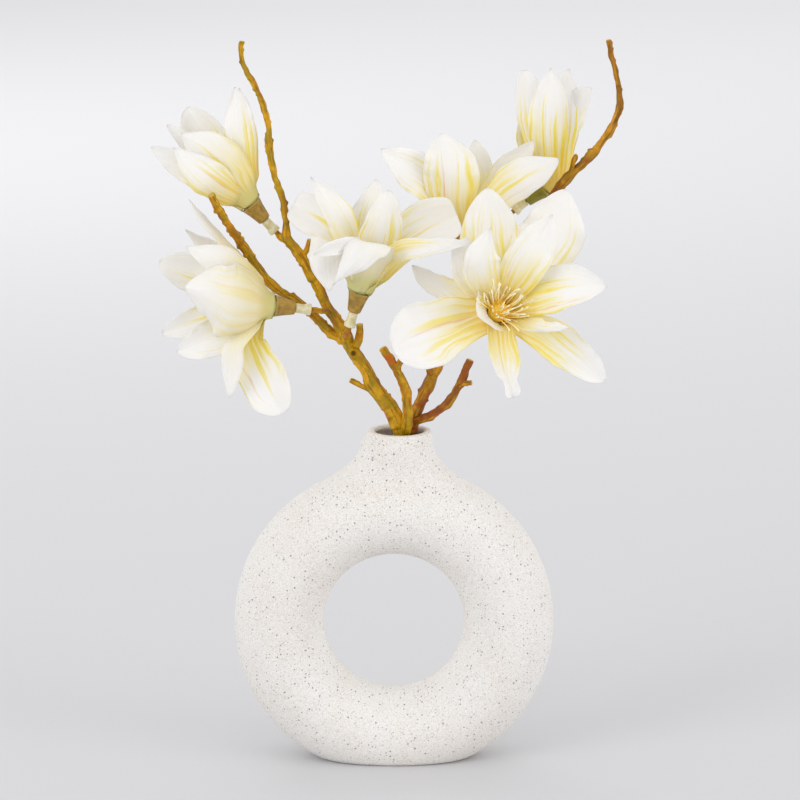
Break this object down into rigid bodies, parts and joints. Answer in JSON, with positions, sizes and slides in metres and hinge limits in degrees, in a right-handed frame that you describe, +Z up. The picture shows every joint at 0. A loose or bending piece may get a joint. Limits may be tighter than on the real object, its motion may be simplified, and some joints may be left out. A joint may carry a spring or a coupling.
{
  "type": "artificial magnolia branches in a ring vase",
  "caption": "Moulded magnolia branches with large open cloth blooms and bare twigs, standing in a speckled off-white ceramic ring vase with a hole through its middle.",
  "frame": {"origin": "middle of the vase's flat underside, which stands on the surface", "axes": "+X to the right as the ring is seen from the front, +Y away from the front along the line through the ring's hole, +Z up"},
  "size_m": [0.2788, 0.1334, 0.4303],
  "materials": {
    "ceramic": "matt sandy off-white with sparse dark grey specks",
    "golden_bark": "satin moulded bark, golden olive",
    "red_bark": "satin moulded bark, red-brown turning golden at the tips",
    "petal_cloth": "fine woven cloth, white with printed yellow streaks and a yellow-green root",
    "cone_plastic": "satin moulded olive brown",
    "sleeve_plastic": "smooth pale cream-green",
    "centre_plastic": "matt pale yellow stamens"
  },
  "bodies": {
    "root": {"vase": "ceramic", "branch_left": "golden_bark", "branch_right": "red_bark", "petals_upper_left": "petal_cloth", "petals_lower_left": "petal_cloth", "petals_middle": "petal_cloth", "petals_rear": "petal_cloth", "petals_upper_right": "petal_cloth", "petals_front_right": "petal_cloth", "cone_upper_left": "cone_plastic", "cone_lower_left": "cone_plastic", "cone_middle": "cone_plastic", "cone_rear": "cone_plastic", "cone_upper_right": "cone_plastic", "cone_front_right": "cone_plastic", "sleeve_upper_left": "sleeve_plastic", "sleeve_lower_left": "sleeve_plastic", "sleeve_middle": "sleeve_plastic", "sleeve_rear": "sleeve_plastic", "sleeve_upper_right": "sleeve_plastic", "sleeve_front_right": "sleeve_plastic", "centre_upper_left": "centre_plastic", "centre_lower_left": "centre_plastic", "centre_middle": "centre_plastic", "centre_rear": "centre_plastic", "centre_upper_right": "centre_plastic", "centre_front_right": "centre_plastic"}
  },
  "joints": []
}
